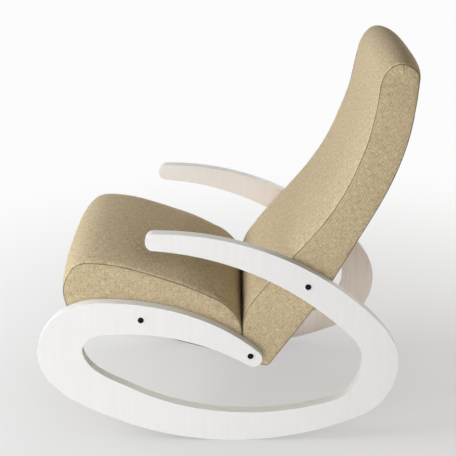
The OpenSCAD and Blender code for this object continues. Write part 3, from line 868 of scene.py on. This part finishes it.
def painted_plywood_material(side):
    """Semi-matt white paint that lets a little of the grain show; the inner face is painted lighter at
    the front as painted light and darker towards the rear as painted shade.
    """
    material, tree = tree_of("painted_plywood_" + ("left" if side > 0 else "right"))
    coords = add(tree, "ShaderNodeTexCoord").outputs["Object"]
    place = add(tree, "ShaderNodeSeparateXYZ", {0: coords}).outputs
    normal = add(tree, "ShaderNodeNewGeometry").outputs["True Normal"]
    across = add(tree, "ShaderNodeSeparateXYZ", {0: normal}).outputs[0]
    edge = calc(tree, "LESS_THAN", calc(tree, "ABSOLUTE", across), FACE_NORMAL)
    inner = calc(tree, "LESS_THAN", calc(tree, "MULTIPLY", across, float(side)), -FACE_NORMAL)
    grain = stretched_noise(tree, coords, (4, 90, 5), 4.0, 0.65)
    fine = stretched_noise(tree, coords, (60, 700, 22), 2.0)
    figure = weighted(tree, (grain, 0.7), (fine, 0.3))
    # Painted light at the front of the inner face, blended along y into painted shade towards its rear
    inner_shade_share = fade(tree, place[1], INNER_SHADE_FROM_Y, INNER_SHADE_TO_Y)
    lit_inner_colour = two_tone(tree, figure, LIT_INNER_PAINT)
    inner_lit_and_shaded_colour = mixed(tree, inner_shade_share, lit_inner_colour, two_tone(tree, figure, SHADED_INNER_PAINT))
    turn = calc(tree, "MULTIPLY", calc(tree, "DIVIDE", place[0], PLY), math.pi / 2)
    stripe = calc(tree, "ABSOLUTE", calc(tree, "SINE", turn))
    ply = weighted(tree, (stripe, 0.5), (stretched_noise(tree, coords, (500, 30, 30), 2.0), 0.5))
    face_paint = mixed(tree, inner, two_tone(tree, figure, OUTER_PAINT), inner_lit_and_shaded_colour)
    relief = weighted(tree, (fine, 0.6), (calc(tree, "MULTIPLY", ply, edge), 1.5))
    finish_surface(tree, {
        "Base Color": mixed(tree, edge, face_paint, two_tone(tree, ply, EDGE_PAINT, 0.2, 0.8)),
        "Roughness": offset_by(tree, 0.34, figure, 0.14),
        "Normal": bumped(tree, relief, 0.18, 0.4 * MM),
        "Specular IOR Level": 0.35,
    })
    return material


def speckled_material(name, colours, scale, roughness, metallic, specular):
    material, tree = tree_of(name)
    coords = add(tree, "ShaderNodeTexCoord").outputs["Object"]
    speckle = stretched_noise(tree, coords, scale, 4.0)
    finish_surface(tree, {
        "Base Color": two_tone(tree, speckle, colours),
        "Roughness": offset_by(tree, roughness - 0.06, speckle, 0.12),
        "Normal": bumped(tree, speckle, 0.3, 0.2 * MM),
        "Metallic": metallic,
        "Specular IOR Level": specular,
    })
    return material


def assign(piece, material):
    piece.data.materials.clear()
    piece.data.materials.append(material)


# The chair's soft parts


def beside_seam(co):
    """True at the seams of a cover, which stay where they are sewn."""
    return abs(co.x) / MM > SEAM_X - HELD_AT_SEAM


def make_seat(outline):
    seat = upholstered("seat_cushion", outline, SEAT_CROWN, SEAT_SEED, -SEAT_SLOPE)

    def pinned(co):
        hidden = co.y / MM - CONTACT_Y > SEAT_REAR_U - HELD_AT_REAR
        return float(beside_seam(co) or hidden)

    puff(seat, pinned, SEAT_PRESSURE)
    limit(seat, 1, high=SEAT_REAR_U + CONTACT_Y)
    limit(seat, 0, low=-CUSHION_HALF - CUSHION_SLACK, high=CUSHION_HALF + CUSHION_SLACK)
    subdivide(seat)
    return seat


def panel_region():
    """Lowest and highest v of the rear panel, and its foremost u."""
    lo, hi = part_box("back_rear_panel")
    return lo.z / MM + PANEL_INSET, hi.z / MM - PANEL_INSET, lo.y / MM - CONTACT_Y


def panel_rows(outline):
    """Numbers of the outline's points that the rear panel covers."""
    low, high, front = panel_region()
    rows = enumerate(outline)
    return [k for k, (u, v, _) in rows if low < v < high and u > front and u > back_middle(v)]


def make_back(outline):
    _, high, _ = panel_region()
    covered = set(panel_rows(outline))

    def recess(x, k):
        return PANEL_RECESS if k in covered and abs(x) < PANEL_HALF + PANEL_RECESS_PAST else 0.0

    back = upholstered(
        "back_cushion", outline, BACK_CROWN, BACK_SEED, BACK_GRAIN, pleated=True, recess=recess,
        extra=[PANEL_HALF + x for x in WRAP_RECESS_ROWS],
    )

    def pinned(co):
        u = co.y / MM - CONTACT_Y
        behind = u > back_middle(co.z / MM) and co.z / MM < high
        return float(beside_seam(co) or behind or u < CREASE_U + HELD_AT_CREASE)

    puff(back, pinned, BACK_PRESSURE)
    limit(back, 1, low=CREASE_U + CONTACT_Y)
    limit(back, 0, low=-CUSHION_HALF - CUSHION_SLACK, high=CUSHION_HALF + CUSHION_SLACK)
    subdivide(back)
    return back


def make_rear_panel(outline):
    """Panel that closes the back behind, turned in at its edges, and its flat size."""
    normals = outward(outline)
    kept = panel_rows(outline)
    runs = run_length(outline)
    first = runs[kept[0]]
    last = runs[kept[-1]]
    inner = [x for x in across_places() if abs(x) < PANEL_HALF - 2 * PANEL_HEM]
    places = [-PANEL_HALF, -PANEL_HALF + PANEL_HEM, *inner, PANEL_HALF - PANEL_HEM, PANEL_HALF]
    mesh = bmesh.new()
    uv = mesh.loops.layers.uv.new("cloth")
    lines = []
    for x in places:
        line = []
        for k in kept:
            d = min(PANEL_HALF - abs(x), runs[k] - first, last - runs[k])
            out = PANEL_SWELL[0] * (1 - math.exp(-d / PANEL_SWELL[1]))
            out -= PANEL_TUCK[0] * math.exp(-d / PANEL_TUCK[1])
            out += gathers(PANEL_GATHER, d, runs[k], x, PANEL_SEED)
            at = outline[k, :2] + out * normals[k]
            line.append(mesh.verts.new(point(x, at[0], at[1])))
        lines.append(line)
    for face, corners in skin(mesh, lines):
        for loop, (j, i) in zip(face.loops, corners):
            loop[uv].uv = (runs[kept[i]] * MM, places[j] * MM)
    bmesh.ops.recalc_face_normals(mesh, faces=mesh.faces)
    panel = join_piece("back_panel_cloth", mesh)
    thicken(panel, PANEL_THICK, 0)
    subdivide(panel)
    return panel, (2 * PANEL_HALF * MM, (last - first) * MM)


def under_seat():
    """Box of the cloth under the seat, and how much it falls for each metre to the rear."""
    lo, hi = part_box("seat_dust_cover")
    return lo, hi, (hi.z - lo.z) / (hi.y - lo.y)


def make_dust_cloth():
    """Thin cloth under the seat, pulled tight by its staples, and its flat size."""
    lo, hi, fall = under_seat()
    mesh = bmesh.new()
    uv = mesh.loops.layers.uv.new("cloth")
    n = DUST_CELLS
    grid = []
    for i in range(n + 1):
        line = []
        for j in range(n + 1):
            x = lo.x + (hi.x - lo.x) * i / n
            y = lo.y + (hi.y - lo.y) * j / n
            edge = min(i, j, n - i, n - j) / n
            sag = DUST_SAG * math.sin(math.pi * i / n) * math.sin(math.pi * j / n)
            spot = Vector((x * DUST_RIPPLE_SCALE, y * DUST_RIPPLE_SCALE, 2.0))
            ripple = DUST_RIPPLE * noise.noise(spot) * math.exp(-edge * DUST_RIPPLE_FADE)
            below = DUST_BELOW + sag * math.cos(math.radians(SEAT_SLOPE)) + ripple
            line.append(mesh.verts.new((x, y, hi.z - fall * (y - lo.y) - below * MM)))
        grid.append(line)
    for face, _ in skin(mesh, grid):
        for loop in face.loops:
            loop[uv].uv = (loop.vert.co.x, loop.vert.co.y)
    cloth = join_piece("seat_dust_cloth", mesh)
    thicken(cloth, DUST_THICK, -1)
    return cloth, (hi.x - lo.x, math.hypot(hi.y - lo.y, hi.z - lo.z))


def make_staples():
    lo, hi, fall = under_seat()
    mesh = bmesh.new()
    inset = STAPLE_IN * MM
    half = STAPLE_HALF * MM
    down = Vector((0, -math.sin(math.atan(fall)), -math.cos(math.atan(fall))))

    def place(x, y):
        return Vector((x, y, hi.z - fall * (y - lo.y) - STAPLE_BELOW * MM))

    for k in range(STAPLES_A_SIDE):
        share = (k + 0.5) / STAPLES_A_SIDE
        x = lo.x + inset + (hi.x - lo.x - 2 * inset) * share
        for y in (lo.y + inset, hi.y - inset):
            thread(mesh, place(x - half, y), place(x + half, y), down, STAPLE_R * MM)
        y = lo.y + inset + (hi.y - lo.y - 2 * inset) * share
        for x in (lo.x + inset, hi.x - inset):
            thread(mesh, place(x, y - half), place(x, y + half), down, STAPLE_R * MM)
    return join_piece("dust_cloth_staples", mesh)


# Side frames, bolts and the inner parts keep their CAD nodes


def round_edges(piece, width):
    """Softens the sawn edges of a CAD node with modifiers alone."""
    weld = piece.modifiers.new("weld", "WELD")
    weld.merge_threshold = 0.02 * MM
    planes = piece.modifiers.new("planes", "DECIMATE")
    planes.decimate_type = "DISSOLVE"
    planes.angle_limit = math.radians(0.2)
    bevel = piece.modifiers.new("round_over", "BEVEL")
    bevel.width = width * MM
    bevel.segments = 3
    bevel.limit_method = "ANGLE"
    bevel.angle_limit = math.radians(40)
    flat = piece.modifiers.new("flat_faces", "WEIGHTED_NORMAL")
    flat.weight = 100
    piece.data.polygons.foreach_set("use_smooth", [True] * len(piece.data.polygons))


def dress_nodes(linen, looks):
    for side, name in ((1, "left_side_frame"), (-1, "right_side_frame")):
        assign(NODES[name], painted_plywood_material(side))
        round_edges(NODES[name], EDGE_ROUND)
    for name in ("left_connector_bolts", "right_connector_bolts"):
        assign(NODES[name], looks["black_steel"])
        round_edges(NODES[name], BOLT_ROUND)
    for name, node in NODES.items():
        if name.endswith("threaded_inserts") or name.startswith("seat_back_"):
            assign(node, looks["zinc_steel"])
        elif name.endswith(("cheek", "rail", "blocks")):
            assign(node, looks["bare_plywood"])
        elif name.endswith(("foam", "pad")):
            assign(node, looks["foam"])
        elif name.endswith("webbing"):
            assign(node, looks["webbing"])
        elif name.endswith(("cover", "rear_panel")):
            assign(node, linen)


def seat_stitch_rows(outline):
    before, above = SEAT_STITCH_ENDS

    def keep(p):
        return p[0] < SEAT_REAR_U - before and p[1] > seat_under_v(p[0]) + above

    return [row_beside(outline, depth, keep) for depth in STITCH_ROWS]


def back_stitch_rows(outline):
    behind, above = BACK_STITCH_ENDS

    def keep_front(p):
        return p[0] < back_middle(p[1]) + behind and p[1] > BACK_ROOT[1] + above

    def keep_rear(p):
        return p[0] > back_middle(p[1]) and p[1] > BACK_ROOT[1] - REAR_STITCH_END

    rows = [row_beside(outline, depth, keep_front) for depth in STITCH_ROWS]
    return rows + [row_beside(outline, REAR_STITCH_ROW, keep_rear)]


def make_soft_parts(linen, looks):
    seat_line = seat_outline()
    back_line = back_outline()
    seat = make_seat(seat_line)
    back = make_back(back_line)
    panel, panel_size = make_rear_panel(back_line)
    dust_cloth, dust_size = make_dust_cloth()
    staples = make_staples()
    seat_stitches = make_stitches("seat_stitching", seat, seat_stitch_rows(seat_line))
    back_stitches = make_stitches("back_stitching", back, back_stitch_rows(back_line))
    # Dark tubes of painted shade along the side seams
    seat_seam_shade = make_painted_seam_shade("seat_painted_seam_shade", seat_line)
    back_seam_shade = make_painted_seam_shade("back_painted_seam_shade", back_line)
    for piece, material, slot in (
        (seat_seam_shade, looks["painted_seam_shade"], "cover_fabric"),
        (back_seam_shade, looks["painted_seam_shade"], "cover_fabric"),
        (seat, linen, "cover_fabric"),
        (back, linen, "cover_fabric"),
        (panel, linen, "cover_fabric"),
        (seat_stitches, looks["sewing_thread"], "cover_fabric"),
        (back_stitches, looks["sewing_thread"], "cover_fabric"),
        (dust_cloth, looks["dust_cloth"], "dust_fabric"),
        (staples, looks["zinc_steel"], "zinc_steel"),
    ):
        assign(piece, material)
        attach(piece, "root")
    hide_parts("seat_cover")
    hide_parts("back_cover")
    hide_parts("back_rear_panel")
    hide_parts("seat_dust_cover")


def make_chair():
    linen = linen_material("linen_cover")
    looks = {name: speckled_material(name, *look) for name, look in PLAIN_LOOKS.items()}
    dress_nodes(linen, looks)
    make_soft_parts(linen, looks)


# Camera, floor and light

# Floor: half its side, middle and radii of its fade into the backdrop, colours, and the painted shade
# that ambient
# occlusion puts in its glow: the glow where objects close it in, what open floor adds, and the distance
# within which objects count
FLOOR_REACH = 14.0
FLOOR_MIDDLE = (0.3, 0.3, 0.0)
FLOOR_FADE_FROM = 0.6
FLOOR_FADE_TO = 2.3
FLOOR_PAPER = (0.80, 0.80, 0.805)
FLOOR_SHEET = (0.85, 0.848, 0.845)
FLOOR_SHEET_SHARE = 0.66
FLOOR_BOUNCE = (0.92, 0.915, 0.91)
FLOOR_SHADE = 0.65
FLOOR_OPEN = 0.36
OPEN_WITHIN = 0.8
BACKDROP = (0.97, 0.97, 0.97)
DIM_WORLD = (1.0, 0.88, 0.68)
DIM_STRENGTH = 0.05

# Lamps: place, target, size, watts and colour
LAMPS = {
    "front_softbox": ((0.5, -2.6, 2.0), (0.0, 0.0, 0.5), (2.0, 1.5), 92, (0.96, 0.975, 1.0)),
    "side_softbox": ((6.0, -2.4, 0.8), (0.0, -0.1, 0.35), (3.6, 1.4), 48, (1.0, 1.0, 1.0)),
    "low_softbox": ((3.2, -0.6, 0.3), (0.0, 0.0, 0.25), (2.8, 0.5), 30, (1.0, 1.0, 1.0)),
    "rear_softbox": ((-1.8, 2.0, 1.4), (0.0, 0.0, 0.5), (1.5, 1.2), 10, (1.0, 0.86, 0.6)),
    "back_softbox": ((-0.9, 3.2, 0.4), (0.0, 0.2, 0.5), (1.2, 0.7), 30, (1.0, 1.0, 1.0)),
    "far_softbox": ((-5.5, 0.6, 0.7), (0.0, 0.0, 0.4), (3.0, 1.2), 70, (1.0, 1.0, 1.0)),
    "high_softbox": ((2.8, 0.5, 2.3), (0.0, 0.0, 0.3), (1.8, 1.4), 17, (1.0, 0.97, 0.92)),
}


def aimed(name, data, place, aim):
    """Places a camera or a lamp so that it looks along aim."""
    made = bpy.data.objects.new(name, data)
    made.location = place
    made.rotation_euler = Vector(aim).to_track_quat("-Z", "Y").to_euler()
    scene.collection.objects.link(made)
    return made


def make_camera():
    data = bpy.data.cameras.new("camera")
    data.sensor_width = SENSOR_W
    data.lens = FOCAL_PX / PHOTO_PX * SENSOR_W
    data.clip_end = 60
    scene.camera = aimed("camera", data, CAMERA_PLACE, CAMERA_AIM)


def make_floor():
    """White sheet that fades into the backdrop; near the chair it keeps part of the chair's real
    shadow, with painted shade from ambient occlusion in its glow.
    """
    mesh = bmesh.new()
    corners = ((-1, -1), (1, -1), (1, 1), (-1, 1))
    mesh.faces.new([mesh.verts.new((x * FLOOR_REACH, y * FLOOR_REACH, 0)) for x, y in corners])
    floor = join_piece("studio_floor", mesh)
    material, tree = tree_of("studio_floor")
    coords = add(tree, "ShaderNodeTexCoord").outputs["Object"]
    away = add(tree, "ShaderNodeVectorMath", {0: coords, 1: FLOOR_MIDDLE}, operation="DISTANCE")
    far = fade(tree, away.outputs["Value"], FLOOR_FADE_FROM, FLOOR_FADE_TO)
    # Painted shade: the sheet's glow is darkened by ambient occlusion near the chair
    inputs = {"Distance": OPEN_WITHIN}
    openness = add(tree, "ShaderNodeAmbientOcclusion", inputs, samples=8).outputs["AO"]
    shade = offset_by(tree, FLOOR_SHADE, openness, FLOOR_OPEN)
    paper = shader(tree, "ShaderNodeBsdfDiffuse", {"Color": FLOOR_PAPER})
    sheet = shader(tree, "ShaderNodeEmission", {"Color": FLOOR_SHEET, "Strength": shade})
    near = mixed_shaders(tree, FLOOR_SHEET_SHARE, paper, sheet)
    glow = shader(tree, "ShaderNodeEmission", {"Color": BACKDROP, "Strength": 1.0})
    shown = mixed_shaders(tree, far, near, glow)
    bounce = shader(tree, "ShaderNodeBsdfDiffuse", {"Color": FLOOR_BOUNCE})
    finish_tree(tree, mixed_shaders(tree, seen_directly(tree), bounce, shown))
    assign(floor, material)


def make_light():
    for name, (place, target, size, power, colour) in LAMPS.items():
        data = bpy.data.lights.new(name, "AREA")
        data.shape = "RECTANGLE"
        data.size, data.size_y = size
        data.energy = power
        data.color = colour
        aimed(name, data, place, Vector(target) - Vector(place)).visible_camera = False
    world = bpy.data.worlds.new("studio")
    scene.world = world
    world.use_nodes = True
    tree = world.node_tree
    tree.nodes.clear()
    dim = shader(tree, "ShaderNodeBackground", {"Color": DIM_WORLD, "Strength": DIM_STRENGTH})
    white = shader(tree, "ShaderNodeBackground", {"Color": BACKDROP, "Strength": 1.0})
    finish_tree(tree, mixed_shaders(tree, seen_directly(tree), dim, white), "ShaderNodeOutputWorld")
    scene.view_settings.view_transform = "Standard"


make_camera()
make_floor()
make_light()
make_chair()
